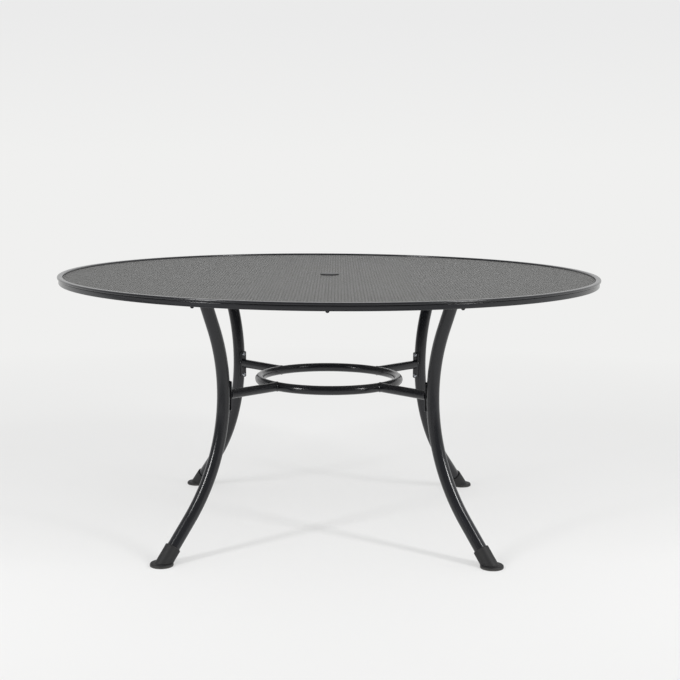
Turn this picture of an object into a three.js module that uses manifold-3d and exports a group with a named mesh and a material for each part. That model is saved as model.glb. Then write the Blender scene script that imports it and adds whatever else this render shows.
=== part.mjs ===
// Umbrella table: a round mesh top on four bowed tube legs, with a round brace between them.
// Millimetres, +Z up, origin on the floor under the centre of the top. The front is -Y.

import * as THREE from 'three';
import { mergeVertices } from 'three/addons/utils/BufferGeometryUtils.js';
import Module from 'manifold-3d';

const wasm = await Module();
wasm.setup();

// Top
const tableDiameter = 1524;
const tableHeight = 730;
const lipWidth = 15;
const lipHeight = 7;
const lipRound = 3.2;
const lipFoot = 2.8;
const bandInset = 3.5;
const hoopHeight = 13;
const hoopWall = 2;
const hoopShelfWidth = 20;
const meshThickness = 2.4;

// Diamonds of the mesh: far wider than on the real sheet, but as open, by about a half
const meshLongWay = 150;
const meshShortWay = 124;
const meshStrand = 28;
const meshBorder = 9;
const meshHubBorder = 18;

// Umbrella hole, for a pole of 38 mm
const holeDiameter = 44;
const holeRingWall = 4.5;
const holeRingDepth = 9;
const holeRingProud = 1.2;
const capThickness = 2.6;
const capRound = 1.1;
const capSkirtDepth = 14;
const capSkirtWall = 2;
const capPlay = 0.5;
const collarWall = 4;
const collarDepth = 34;
const collarPlay = 1;

// Support rods under the mesh
const rodDiameter = 8;
const rodInset = 10;

// Legs
const legTubeDiameter = 35;
const legTubeWall = 2;
const legWaistRadius = 396.5;
const legWaistHeight = 430;
const legBendRadius = 500;
const legTopLean = THREE.MathUtils.degToRad(21);
const legFootSplay = THREE.MathUtils.degToRad(40.6);
const flangeLength = 92;
const flangeWidth = 52;
const flangeThickness = 5;
const mountPlateMargin = 6;
const mountPlateThickness = 5;
const flangeBoltSpacing = 70;

// Boots
const bootLength = 55;
const bootWall = 3.6;
const bootTopRound = 1.6;
const bootInsole = 9;
const soleDiameter = 62;
const soleHeight = 9;
const soleRound = 4;
const soleChamfer = 1.5;
const soleOffset = 2.5;

// Brace
const braceHeight = 425;
const braceRingDiameter = 400;
const braceRingTube = 25.4;
const braceArmTube = 25.4;
const braceArmWall = 1.5;
const bracketDrop = 3;
const bracketHeight = 80;
const bracketWidth = 20;
const bracketThickness = 4;
const bracketCornerRadius = 4;
const bracketBoltSpacing = 64;

// Fasteners
const bracketBoltDiameter = 6;
const bracketBoltHeadDiameter = 10.5;
const bracketBoltHeadHeight = 3.3;
const bracketBoltSpare = 6;
const flangeBoltDiameter = 8;
const flangeBoltHexWidth = 13;
const flangeBoltHeadHeight = 5.3;
const flangeNutHeight = 6.5;
const flangeBoltSpare = 2;
const boltClearance = 0.4;

// Clearances
const touchGap = 0.3;
const cutOverrun = 120;

// Facets
const ringSides = 96;
const hubSides = 24;
const legSides = 12;
const legBoreSides = 8;
const legSteps = 20;
const bootSides = 20;
const braceRingSides = 48;
const braceTubeSides = 12;
const armSides = 10;
const rodSides = 8;
const boltSides = 8;
const arcSteps = 3;

// Levels, worked down from the top of the lip
const tableRadius = tableDiameter / 2;
const seatLevel = tableHeight - lipHeight;
const meshTop = seatLevel + meshThickness;
const shelfTop = seatLevel - touchGap;
const bandBottom = shelfTop - hoopHeight;
const rodRadius = rodDiameter / 2;
const upperRodLevel = shelfTop - rodRadius;
const lowerRodLevel = upperRodLevel - rodDiameter - touchGap;
const mountPlateTop = lowerRodLevel - rodRadius - touchGap;
const flangeTop = mountPlateTop - mountPlateThickness - touchGap;
const flangeBottom = flangeTop - flangeThickness;

// Leg centreline, in its own upright plane: a bend with a straight run at each end
const legTubeRadius = legTubeDiameter / 2;
const footRun = (legWaistHeight - legBendRadius * Math.sin(legFootSplay)) / Math.cos(legFootSplay);
const waistToFloor = legBendRadius * legFootSplay + footRun;
const bendTopLevel = legWaistHeight + legBendRadius * Math.sin(legTopLean);
const waistToFlange = legBendRadius * legTopLean + (flangeTop - bendTopLevel) / Math.cos(legTopLean);

function legPoint(fromWaist) {
  const turn = THREE.MathUtils.clamp(fromWaist / legBendRadius, -legFootSplay, legTopLean);
  const straight = fromWaist - turn * legBendRadius;
  return new THREE.Vector3(
    legWaistRadius + legBendRadius * (1 - Math.cos(turn)) + straight * Math.sin(turn),
    0,
    legWaistHeight + legBendRadius * Math.sin(turn) + straight * Math.cos(turn),
  );
}

function legRadiusAt(level) {
  const sine = (level - legWaistHeight) / legBendRadius;
  const turn = THREE.MathUtils.clamp(
    Math.asin(THREE.MathUtils.clamp(sine, -1, 1)), -legFootSplay, legTopLean);
  const rise = level - legWaistHeight - legBendRadius * Math.sin(turn);
  return legWaistRadius + legBendRadius * (1 - Math.cos(turn)) + rise * Math.tan(turn);
}

class LegLine extends THREE.Curve {
  constructor(start, end) {
    super();
    this.start = start;
    this.end = end;
  }

  getPoint(share, target = new THREE.Vector3()) {
    return target.copy(legPoint(THREE.MathUtils.lerp(this.start, this.end, share)));
  }
}

const footRadius = legPoint(-waistToFloor).x;
const flangeRadius = legRadiusAt(flangeBottom);

// The outer rods run over the leg tops, which stand on the diagonals, a little inside their middles
const rodOffset = flangeRadius * Math.SQRT1_2 - rodInset;

// Brace places
const bracketLevel = braceHeight - bracketDrop;
const bracketNearLevel = THREE.MathUtils.clamp(
  legWaistHeight, bracketLevel - bracketHeight / 2, bracketLevel + bracketHeight / 2);
const bracketOuterFace = legRadiusAt(bracketNearLevel) - legTubeRadius - touchGap;
const bracketInnerFace = bracketOuterFace - bracketThickness;
const bracketBoltLevels = [-bracketBoltSpacing / 2, bracketBoltSpacing / 2]
  .map((offset) => bracketLevel + offset);

// Corners: name and azimuth of each leg
const corners = [
  ['front_right', -Math.PI / 4],
  ['back_right', Math.PI / 4],
  ['back_left', 3 * Math.PI / 4],
  ['front_left', -3 * Math.PI / 4],
];

// Finishes
const coatedSteel = new THREE.MeshStandardMaterial({ color: 0x2b2c2f, roughness: 0.38, metalness: 0.1 });
const meshSteel = new THREE.MeshStandardMaterial({ color: 0x34363a, roughness: 0.45, metalness: 0.1 });
const bootPlastic = new THREE.MeshStandardMaterial({ color: 0x1d1d1f, roughness: 0.7, metalness: 0 });
const capPlastic = new THREE.MeshStandardMaterial({ color: 0x242528, roughness: 0.4, metalness: 0 });
const zincSteel = new THREE.MeshStandardMaterial({ color: 0xb4b8bd, roughness: 0.35, metalness: 0.9 });

// Solids for joining and cutting
function toSolid(geometry) {
  const bare = geometry.clone();
  bare.deleteAttribute('normal');
  bare.deleteAttribute('uv');
  const merged = mergeVertices(bare);
  return new wasm.Manifold(new wasm.Mesh({
    numProp: 3,
    vertProperties: new Float32Array(merged.attributes.position.array),
    triVerts: new Uint32Array(merged.index.array),
  }));
}

function toGeometry(solid) {
  const mesh = solid.getMesh();
  const geometry = new THREE.BufferGeometry();
  geometry.setAttribute('position', new THREE.BufferAttribute(mesh.vertProperties, 3));
  geometry.setIndex(new THREE.BufferAttribute(mesh.triVerts, 1));
  geometry.computeVertexNormals();
  return geometry;
}

// Shapes
// A turned shape about +Z, from points [radius, level] that run anticlockwise
function turned(points, sides) {
  const profile = points.map(([radius, level]) => new THREE.Vector2(radius, level));
  return new THREE.LatheGeometry(profile, sides).rotateX(Math.PI / 2);
}

function turnedRing(points, sides) {
  return turned([...points, points[0]], sides);
}

function tubeAlongZ(innerRadius, outerRadius, bottom, top, sides) {
  return turnedRing(
    [[innerRadius, bottom], [outerRadius, bottom], [outerRadius, top], [innerRadius, top]], sides);
}

// Points of an arc about [radius, level], from one angle to another
function arc(radius, level, size, from, to, steps = arcSteps) {
  return Array.from({ length: steps + 1 }, (_, i) => {
    const angle = THREE.MathUtils.lerp(from, to, i / steps);
    return [radius + size * Math.cos(angle), level + size * Math.sin(angle)];
  });
}

function circlePath(radius, sides, x = 0, y = 0) {
  const path = new THREE.Path();
  for (let i = 0; i < sides; i += 1) {
    const angle = 2 * Math.PI * i / sides;
    path[i ? 'lineTo' : 'moveTo'](x + radius * Math.cos(angle), y + radius * Math.sin(angle));
  }
  path.closePath();
  return path;
}

// How far out a piece reaches to stop at the flats of a many-sided ring, at this half width
function reachInside(ringRadius, sides, halfWidth) {
  const flat = ringRadius * Math.cos(Math.PI / sides) - touchGap;
  return Math.sqrt(flat * flat - halfWidth * halfWidth);
}

const top = new THREE.Group();
const base = new THREE.Group();

function add(group, name, geometry, material, turn = 0) {
  const mesh = new THREE.Mesh(geometry, material);
  mesh.name = name;
  mesh.rotation.z = turn;
  group.add(mesh);
}

// Rim lip: a bead on the edge, well rounded above and less below
const lipInner = tableRadius - lipWidth;
add(top, 'rim_lip', turnedRing([
  [lipInner, seatLevel],
  ...arc(tableRadius - lipFoot, seatLevel + lipFoot, lipFoot, -Math.PI / 2, 0, 1),
  ...arc(tableRadius - lipRound, tableHeight - lipRound, lipRound, 0, Math.PI / 2),
  ...arc(lipInner + lipRound, tableHeight - lipRound, lipRound, Math.PI / 2, Math.PI),
], ringSides), coatedSteel);

// Rim hoop: a rolled angle, its upright band outside and its shelf under the lip and the mesh
const bandOuter = tableRadius - bandInset;
const bandInner = bandOuter - hoopWall;
const shelfInner = bandOuter - hoopShelfWidth;
add(top, 'rim_hoop', turnedRing([
  [shelfInner, shelfTop - hoopWall],
  [bandInner, shelfTop - hoopWall],
  [bandInner, bandBottom],
  ...arc(bandOuter - hoopWall, bandBottom + hoopWall, hoopWall, -Math.PI / 2, 0).slice(1),
  [bandOuter, shelfTop],
  [shelfInner, shelfTop],
], ringSides), coatedSteel);

// Mesh panel: a sheet of diamond openings with a plain border, and a hole for the umbrella's ring
const holeRadius = holeDiameter / 2;
const holeRingRadius = holeRadius + holeRingWall;
const meshHoleRadius = (holeRingRadius + touchGap) / Math.cos(Math.PI / hubSides);
const meshRadius = lipInner - touchGap;
const meshOpenRadius = meshRadius - meshBorder;

function disc(radius, bottom, level, sides) {
  return toSolid(turned([[0, bottom], [radius, bottom], [radius, level], [0, level]], sides));
}

function cuttingDisc(radius, sides) {
  return disc(radius, seatLevel - cutOverrun, meshTop + cutOverrun, sides);
}

// Two strands cross on the centre, and each diamond's middle lies half a step from a crossing.
// A diamond on the border is cut if its middle lies no more than half a strand beyond it.
function meshOpenings() {
  const halfLong = meshLongWay / 2;
  const halfShort = meshShortWay / 2;
  const cellHalfWidth = halfLong * halfShort / Math.hypot(halfLong, halfShort);
  const openShare = 1 - meshStrand / 2 / cellHalfWidth;
  const reach = meshOpenRadius + meshStrand / 2;
  const columns = Math.ceil(reach / halfLong);
  const rows = Math.ceil(reach / halfShort);
  const diamonds = [];
  for (let column = -columns; column <= columns; column += 1) {
    for (let row = -rows; row <= rows; row += 1) {
      const x = column * halfLong;
      const y = row * halfShort;
      if ((column + row) % 2 !== 0 && Math.hypot(x, y) < reach) {
        diamonds.push(new THREE.Shape([
          new THREE.Vector2(x + halfLong * openShare, y),
          new THREE.Vector2(x, y + halfShort * openShare),
          new THREE.Vector2(x - halfLong * openShare, y),
          new THREE.Vector2(x, y - halfShort * openShare),
        ]));
      }
    }
  }
  const depth = meshThickness + 2 * cutOverrun;
  return toSolid(new THREE.ExtrudeGeometry(diamonds, { depth, bevelEnabled: false })
    .translate(0, 0, seatLevel - cutOverrun));
}

const openings = meshOpenings()
  .intersect(cuttingDisc(meshOpenRadius, ringSides))
  .subtract(cuttingDisc(meshHoleRadius + meshHubBorder, hubSides));
const meshPanel = disc(meshRadius, seatLevel, meshTop, ringSides)
  .subtract(cuttingDisc(meshHoleRadius, hubSides))
  .subtract(openings);
add(top, 'mesh_panel', toGeometry(meshPanel), meshSteel);

// Hub collar under the mesh, round the hole
const collarInner = meshHoleRadius + collarPlay;
const collarOuter = collarInner + collarWall;
add(top, 'hub_collar',
  tubeAlongZ(collarInner, collarOuter, shelfTop - collarDepth, shelfTop, hubSides), coatedSteel);

// Hole ring: a bush in the mesh panel's hole, a little proud of it
const holeRingTop = meshTop + holeRingProud;
add(top, 'hole_ring', tubeAlongZ(
  holeRadius, holeRingRadius, holeRingTop - holeRingDepth, holeRingTop, hubSides), coatedSteel);

// Hole cap: a push-in plug that lifts out for the umbrella
const capBottom = holeRingTop + touchGap;
const capTop = capBottom + capThickness;
const skirtOuter = holeRadius - capPlay;
const skirtInner = skirtOuter - capSkirtWall;
add(top, 'hole_cap', turned([
  [0, capBottom],
  [skirtInner, capBottom],
  [skirtInner, capBottom - capSkirtDepth],
  [skirtOuter, capBottom - capSkirtDepth],
  [skirtOuter, capBottom],
  [holeRingRadius, capBottom],
  ...arc(holeRingRadius - capRound, capTop - capRound, capRound, 0, Math.PI / 2),
  [0, capTop],
], hubSides), capPlastic);

// Support rods: the lower ones run front to back, the upper ones lie across them
function rod(start, end, offset, level) {
  return new THREE.CylinderGeometry(rodRadius, rodRadius, end - start, rodSides)
    .translate(offset, (start + end) / 2, level);
}

function addRods(layer, ringRadius, level, turn, [firstSide, secondSide, firstEnd, secondEnd]) {
  const sideReach = reachInside(ringRadius, ringSides, rodOffset + rodRadius);
  const middleReach = reachInside(ringRadius, ringSides, rodRadius);
  const hubReach = collarOuter + touchGap;
  const rods = [
    [firstSide, -sideReach, sideReach, -rodOffset],
    [secondSide, -sideReach, sideReach, rodOffset],
    [firstEnd, -middleReach, -hubReach, 0],
    [secondEnd, hubReach, middleReach, 0],
  ];
  for (const [side, start, end, offset] of rods) {
    add(top, `${layer}_rod_${side}`, rod(start, end, offset, level), coatedSteel, turn);
  }
}

addRods('lower', bandInner, lowerRodLevel, 0, ['left', 'right', 'middle_front', 'middle_back']);
addRods('upper', shelfInner, upperRodLevel, Math.PI / 2,
  ['front', 'back', 'middle_right', 'middle_left']);

// Plates with two holes, for the leg mounts: on the radial line, long way across it
const flangeHoleRadius = flangeBoltDiameter / 2 + boltClearance;
function drilledPlate(width, length, thickness, bottom) {
  const shape = new THREE.Shape([
    new THREE.Vector2(-width / 2, -length / 2), new THREE.Vector2(width / 2, -length / 2),
    new THREE.Vector2(width / 2, length / 2), new THREE.Vector2(-width / 2, length / 2),
  ]);
  for (const side of [-1, 1]) {
    shape.holes.push(circlePath(flangeHoleRadius, boltSides, 0, side * flangeBoltSpacing / 2));
  }
  return new THREE.ExtrudeGeometry(shape, { depth: thickness, bevelEnabled: false })
    .translate(flangeRadius, 0, bottom);
}

// Legs
const legBoreRadius = legTubeRadius - legTubeWall;
const legShape = new THREE.Shape(circlePath(legTubeRadius, legSides).getPoints());
legShape.holes.push(circlePath(legBoreRadius, legBoreSides));

function slab(bottom, height) {
  const side = 2 * (footRadius + cutOverrun);
  return toSolid(new THREE.BoxGeometry(side, side, height).translate(0, 0, bottom + height / 2));
}

function legGeometry() {
  const line = new LegLine(
    -waistToFloor - legTubeRadius * Math.tan(legFootSplay),
    waistToFlange + legTubeRadius * Math.tan(legTopLean));
  const tube = toSolid(new THREE.ExtrudeGeometry(legShape, {
    steps: legSteps, extrudePath: line, bevelEnabled: false,
  }));
  const weldLevel = flangeBottom + flangeThickness / 2;
  const footLevel = bootInsole + touchGap;
  const cut = tube.intersect(slab(footLevel, weldLevel - footLevel));
  let leg = cut.add(toSolid(
    drilledPlate(flangeWidth, flangeLength, flangeThickness, flangeBottom)));
  for (const level of bracketBoltLevels) {
    const reach = legRadiusAt(level) - bracketInnerFace;
    leg = leg.subtract(toSolid(
      new THREE.CylinderGeometry(bracketHoleRadius, bracketHoleRadius, reach, boltSides)
        .rotateZ(Math.PI / 2)
        .translate(bracketInnerFace + reach / 2, 0, level)));
  }
  return toGeometry(leg);
}

// Boots: a sleeve round the tube on a round flat sole
const soleRadius = soleDiameter / 2;
const bootBoreRadius = (legTubeRadius + touchGap) / Math.cos(Math.PI / legSides);
const sleeveRadius = bootBoreRadius + bootWall;

function alongFoot(geometry) {
  return geometry.rotateY(-legFootSplay).translate(footRadius, 0, 0);
}

function bootGeometry() {
  const sleeve = toSolid(alongFoot(turned([
    [0, -sleeveRadius],
    [sleeveRadius, -sleeveRadius],
    ...arc(sleeveRadius - bootTopRound, bootLength - bootTopRound, bootTopRound, 0, Math.PI / 2, 2),
    [0, bootLength],
  ], bootSides)));
  const sole = toSolid(turned([
    [0, 0],
    [soleRadius - soleChamfer, 0],
    [soleRadius, soleChamfer],
    ...arc(soleRadius - soleRound, soleHeight - soleRound, soleRound, 0, Math.PI / 2),
    [0, soleHeight],
  ], bootSides).translate(footRadius + soleOffset, 0, 0));
  const bore = toSolid(alongFoot(turned([
    [0, -bootLength], [bootBoreRadius, -bootLength],
    [bootBoreRadius, bootLength + cutOverrun], [0, bootLength + cutOverrun],
  ], legSides)));
  const outside = sleeve.intersect(slab(0, bootLength + cutOverrun)).add(sole);
  return toGeometry(outside.subtract(bore.intersect(slab(bootInsole, bootLength + cutOverrun))));
}

// Brace: a ring, and arms coped to it
const braceRadius = braceRingDiameter / 2;
function braceRing(tubeRadius) {
  const profile = arc(braceRadius, braceHeight, tubeRadius, 0, 2 * Math.PI, braceTubeSides);
  return turned(profile, braceRingSides);
}

function armGeometry() {
  const reach = bracketInnerFace - touchGap - braceRadius;
  const armRadius = braceArmTube / 2;
  const arm = tubeAlongZ(armRadius - braceArmWall, armRadius, 0, reach, armSides)
    .rotateY(Math.PI / 2)
    .translate(braceRadius, 0, braceHeight);
  return toGeometry(toSolid(arm).subtract(toSolid(braceRing(braceRingTube / 2 + touchGap))));
}

// Brackets: upright plates with round corners
const bracketHoleRadius = bracketBoltDiameter / 2 + boltClearance;
function bracketGeometry() {
  const x = bracketHeight / 2 - bracketCornerRadius;
  const y = bracketWidth / 2 - bracketCornerRadius;
  const outline = [
    ...arc(x, y, bracketCornerRadius, 0, Math.PI / 2),
    ...arc(-x, y, bracketCornerRadius, Math.PI / 2, Math.PI),
    ...arc(-x, -y, bracketCornerRadius, Math.PI, 1.5 * Math.PI),
    ...arc(x, -y, bracketCornerRadius, 1.5 * Math.PI, 2 * Math.PI),
  ];
  const shape = new THREE.Shape(outline.map(([u, v]) => new THREE.Vector2(u, v)));
  for (const level of bracketBoltLevels) {
    shape.holes.push(circlePath(bracketHoleRadius, boltSides, level - bracketLevel, 0));
  }
  return new THREE.ExtrudeGeometry(shape, { depth: bracketThickness, bevelEnabled: false })
    .rotateY(-Math.PI / 2)
    .translate(bracketOuterFace, 0, bracketLevel);
}

// Bracket bolts: a low dome head inside, the shank through the bracket into the leg's wall
const legWallReach = Math.max(...bracketBoltLevels.map(legRadiusAt)) - legBoreRadius;
function bracketBolt(level) {
  const seat = bracketInnerFace - touchGap;
  const headRadius = bracketBoltHeadDiameter / 2;
  const headEdge = -bracketBoltHeadHeight / 3;
  return turned([
    [0, -bracketBoltHeadHeight],
    [headRadius / 2, -bracketBoltHeadHeight],
    [headRadius, headEdge],
    [headRadius, 0],
    [bracketBoltDiameter / 2, 0],
    [bracketBoltDiameter / 2, legWallReach + bracketBoltSpare - seat],
    [0, legWallReach + bracketBoltSpare - seat],
  ], boltSides).rotateY(Math.PI / 2).translate(seat, 0, level);
}

// Flange bolts: a hex head under the leg's flange and a nut on top of the mount plate
const hexRadius = flangeBoltHexWidth / 2 / Math.cos(Math.PI / 6);
const hexSides = 6;
function flangeBolt(side) {
  const seat = flangeBottom - touchGap;
  const tip = mountPlateTop + touchGap + flangeNutHeight + flangeBoltSpare;
  const head = toSolid(new THREE.CylinderGeometry(hexRadius, hexRadius, flangeBoltHeadHeight, hexSides)
    .rotateX(Math.PI / 2)
    .translate(0, 0, seat - flangeBoltHeadHeight / 2));
  const shankFrom = seat - flangeBoltHeadHeight / 2;
  const shankRadius = flangeBoltDiameter / 2;
  const shank = toSolid(new THREE.CylinderGeometry(shankRadius, shankRadius, tip - shankFrom, boltSides)
    .rotateX(Math.PI / 2)
    .translate(0, 0, (tip + shankFrom) / 2));
  return toGeometry(head.add(shank)).translate(flangeRadius, side * flangeBoltSpacing / 2, 0);
}

function flangeNut(side) {
  const shape = new THREE.Shape(circlePath(hexRadius, hexSides).getPoints());
  shape.holes.push(circlePath(flangeBoltDiameter / 2 + touchGap, boltSides));
  return new THREE.ExtrudeGeometry(shape, { depth: flangeNutHeight, bevelEnabled: false })
    .translate(flangeRadius, side * flangeBoltSpacing / 2, mountPlateTop + touchGap);
}

// What stands at each corner, built on +X and turned to its diagonal
const mountPlateGrow = 2 * mountPlateMargin;
for (const [corner, turn] of corners) {
  add(base, `leg_${corner}`, legGeometry(), coatedSteel, turn);
  add(base, `boot_${corner}`, bootGeometry(), bootPlastic, turn);
  add(base, `brace_arm_${corner}`, armGeometry(), coatedSteel, turn);
  add(base, `brace_bracket_${corner}`, bracketGeometry(), coatedSteel, turn);
  add(base, `bracket_bolt_low_${corner}`, bracketBolt(bracketBoltLevels[0]), zincSteel, turn);
  add(base, `bracket_bolt_high_${corner}`, bracketBolt(bracketBoltLevels[1]), zincSteel, turn);
  add(top, `leg_mount_${corner}`, drilledPlate(
    flangeWidth + mountPlateGrow, flangeLength + mountPlateGrow,
    mountPlateThickness, mountPlateTop - mountPlateThickness), coatedSteel, turn);
  for (const [hand, side] of [['a', -1], ['b', 1]]) {
    add(base, `flange_bolt_${hand}_${corner}`, flangeBolt(side), zincSteel, turn);
    add(base, `flange_nut_${hand}_${corner}`, flangeNut(side), zincSteel, turn);
  }
}
add(base, 'brace_ring', braceRing(braceRingTube / 2), coatedSteel);

const table = new THREE.Group();
table.add(top, base);
export default table;
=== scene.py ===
# %% [markdown]
# # An umbrella table, dressed in Blender
#
# The table is a round top of expanded steel mesh on four bowed tube legs, with a round brace between
# them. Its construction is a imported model: solids of the right size in the right place. This file
# adds the looks around it, piece by piece, with the tools a modeller uses by hand.

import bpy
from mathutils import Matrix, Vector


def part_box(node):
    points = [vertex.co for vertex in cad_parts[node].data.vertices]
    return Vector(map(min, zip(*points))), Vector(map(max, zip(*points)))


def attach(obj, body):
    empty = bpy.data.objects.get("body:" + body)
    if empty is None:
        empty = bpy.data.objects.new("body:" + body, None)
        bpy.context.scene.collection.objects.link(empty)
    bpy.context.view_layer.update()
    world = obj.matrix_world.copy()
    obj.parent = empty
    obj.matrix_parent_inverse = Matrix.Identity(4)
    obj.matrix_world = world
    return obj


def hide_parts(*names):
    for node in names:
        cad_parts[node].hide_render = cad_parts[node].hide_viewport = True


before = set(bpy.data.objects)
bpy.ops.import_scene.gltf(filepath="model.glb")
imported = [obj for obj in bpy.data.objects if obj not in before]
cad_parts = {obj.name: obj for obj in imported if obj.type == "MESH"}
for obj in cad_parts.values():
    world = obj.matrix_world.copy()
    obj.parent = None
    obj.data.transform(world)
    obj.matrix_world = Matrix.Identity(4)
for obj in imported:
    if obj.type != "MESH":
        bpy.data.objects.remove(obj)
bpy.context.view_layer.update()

# %% [markdown]
# Everything is in metres here, so sizes that are known in millimetres are multiplied by MM. The legs
# stand on the diagonals. A piece that comes four times is modelled once, on +X, and turned to its
# corner, so the frame's own pieces are measured in that turned plane too.

# %% Units, corners and measuring
import math

import bmesh
import bpy
from mathutils import Matrix, Vector

MM = 0.001
TINY = 0.002 * MM
QUARTER_TURN = math.pi / 2
X_AXIS, Y_AXIS, Z_AXIS = range(3)
PATTERN_CORNER = "front_right"
CORNERS = {
    "front_right": math.radians(-45),
    "back_right": math.radians(45),
    "back_left": math.radians(135),
    "front_left": math.radians(-135),
}


def turned(angle, axis):
    """The matrix of a turn about one axis."""
    return Matrix.Rotation(angle, 3, axis)


def corner_box(kind):
    """Lowest and highest corner of one corner's piece, as if its leg stood on +X."""
    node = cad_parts[f"{kind}_{PATTERN_CORNER}"]
    turn = turned(-CORNERS[PATTERN_CORNER], "Z")
    points = [turn @ v.co for v in node.data.vertices]
    return Vector(map(min, zip(*points))), Vector(map(max, zip(*points)))


print("foot reaches", [round(x / MM, 1) for x in corner_box("boot")[1]], "mm")

# %% [markdown]
# The camera stands where the reference view was taken from: a little above the top and three metres
# in front of its edge, with a long lens, so that the round top shows as a flat ellipse. Its turn
# about its own line of sight is less than half a degree, but the rim's ends show it.

# %% Camera
CAMERA_PLACE = (0.0222, -3.720, 1.0621)
CAMERA_DOWN = math.radians(8.037)
CAMERA_PAN = math.radians(-0.137)
CAMERA_ROLL = math.radians(0.413)
CAMERA_LENS = 69.1

aim = (turned(CAMERA_PAN, "Z")
       @ turned(QUARTER_TURN - CAMERA_DOWN, "X")
       @ turned(CAMERA_ROLL, "Z"))
bpy.ops.object.camera_add(location=CAMERA_PLACE, rotation=aim.to_euler())
camera = bpy.context.object
camera.data.lens = CAMERA_LENS
bpy.context.scene.camera = camera
print("camera:", CAMERA_LENS, "mm lens,", round(math.degrees(CAMERA_DOWN), 1), "degrees down")

# %% [markdown]
# A shader works in linear light, and a colour is easier to read as the hex code that a paint
# program shows. One function turns the one into the other, and the plain "Standard" view turns it
# back without a film-like curve, so a surface shows the colour that it was given. A second function
# adds a shader node, sets its inputs and links what is another node's output, which keeps each
# material short.

# %% Colours and nodes
SRGB_FULL = 255
SRGB_FOOT, SRGB_FOOT_SLOPE = 0.04045, 12.92
SRGB_OFFSET, SRGB_POWER = 0.055, 2.4

bpy.context.scene.view_settings.view_transform = "Standard"


def linear_part(part):
    """Turns one sRGB part of a colour, from 0 to 1, into linear light."""
    if part <= SRGB_FOOT:
        return part / SRGB_FOOT_SLOPE
    return ((part + SRGB_OFFSET) / (1 + SRGB_OFFSET)) ** SRGB_POWER


def linear(code):
    """Turns an sRGB hex colour into linear light, with full alpha."""
    parts = (int(code[i:i + 2], 16) / SRGB_FULL for i in (1, 3, 5))
    return [*map(linear_part, parts), 1]


def add(tree, kind, inputs=None, **settings):
    """Adds a node. An input that is another node's output is linked, and any other is set."""
    node = tree.nodes.new("ShaderNode" + kind)
    for name, value in settings.items():
        setattr(node, name, value)
    for name, value in (inputs or {}).items():
        if isinstance(value, bpy.types.NodeSocket):
            tree.links.new(value, node.inputs[name])
        else:
            node.inputs[name].default_value = value
    return node


def new_material(name):
    """A material with an empty node tree and its output node."""
    material = bpy.data.materials.new(name)
    material.use_nodes = True
    tree = material.node_tree
    tree.nodes.clear()
    return material, tree, add(tree, "OutputMaterial")


print("white in linear light:", linear("#ffffff"))

# %% [markdown]
# The surroundings are a pale studio. The world lights the table evenly at a plain level. Rays that
# come straight from the camera see the backdrop's own pale grey instead, a little darker towards
# the top. Rays that a glossy surface sends back see the same backdrop behind the table, but the
# room that the camera stands in is darker, more so on the left. A dark glossy coat needs that: under
# an even white sky its tubes would look flat and grey.

# %% World
SKY_LIGHT = 0.87
BACKDROP_LOW = "#f0f0ef"
BACKDROP_HIGH = "#ebebeb"
BACKDROP_FADE = 0.1
ROOM_GREY = "#808080"
ROOM_SIDE = Vector((-0.35, -0.94, 0))
ROOM_STARTS, ROOM_FULL = -0.6, 0.5


def ray_kinds(tree):
    """The light path's outputs, and 1 for a ray that shows things: camera, gloss or glass."""
    rays = add(tree, "LightPath").outputs
    seen = rays["Is Camera Ray"]
    for kind in ("Is Glossy Ray", "Is Transmission Ray"):
        seen = add(tree, "Math", {0: seen, 1: rays[kind]}, operation="MAXIMUM").outputs[0]
    return rays, seen


world = bpy.data.worlds.new("studio")
world.use_nodes = True
bpy.context.scene.world = world
tree = world.node_tree
tree.nodes.clear()
rays, seen = ray_kinds(tree)
way = add(tree, "TexCoord").outputs["Generated"]
height = add(tree, "SeparateXYZ", {0: way})
rise = add(tree, "MapRange", {"Value": height.outputs["Z"], "From Max": BACKDROP_FADE})
backdrop = add(tree, "Mix", {
    "Factor": rise.outputs[0],
    "A": linear(BACKDROP_LOW), "B": linear(BACKDROP_HIGH),
}, data_type="RGBA")
towards = add(tree, "VectorMath", {0: way, 1: ROOM_SIDE}, operation="DOT_PRODUCT")
front = add(tree, "MapRange", {
    "Value": towards.outputs["Value"], "From Min": ROOM_STARTS, "From Max": ROOM_FULL,
})
room = add(tree, "Math", {0: front.outputs[0], 1: rays["Is Glossy Ray"]}, operation="MULTIPLY")
around = add(tree, "Mix", {
    "Factor": room.outputs[0], "A": backdrop.outputs["Result"], "B": linear(ROOM_GREY),
}, data_type="RGBA")
shown = add(tree, "Background", {"Color": around.outputs["Result"]})
light = add(tree, "Background", {"Color": linear("#ffffff"), "Strength": SKY_LIGHT})
both = add(tree, "MixShader", {0: seen, 1: light.outputs[0], 2: shown.outputs[0]})
add(tree, "OutputWorld", {"Surface": both.outputs[0]})
print("world light:", SKY_LIGHT)

# %% [markdown]
# The floor is one wide sweep of matt paint. It takes real shadows. In a studio of this kind the
# light that comes back from all the pale walls fills part of a shadow, so a share of what the
# camera sees of the floor is its plain colour, and the rest is lit and shadowed. That share grows
# with the distance from the table, until the floor runs into the backdrop without a line. In
# reflections the pale sweep ends a few steps in front of the table. A darker stretch of floor
# follows, and then the foot of the room's far, pale wall.

# %% Floor
FLOOR_REACH = 40
FLOOR_SIDES = 128
FLOOR_PAINT = "#e6e6e6"
FLOOR_FILL = 0.5
FILL_STARTS, FILL_FULL = 1.4, 3.6
DARK_STARTS, DARK_FULL = 1.8, 2.6
DARK_ENDS, DARK_OVER = 3.4, 4.6

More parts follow.
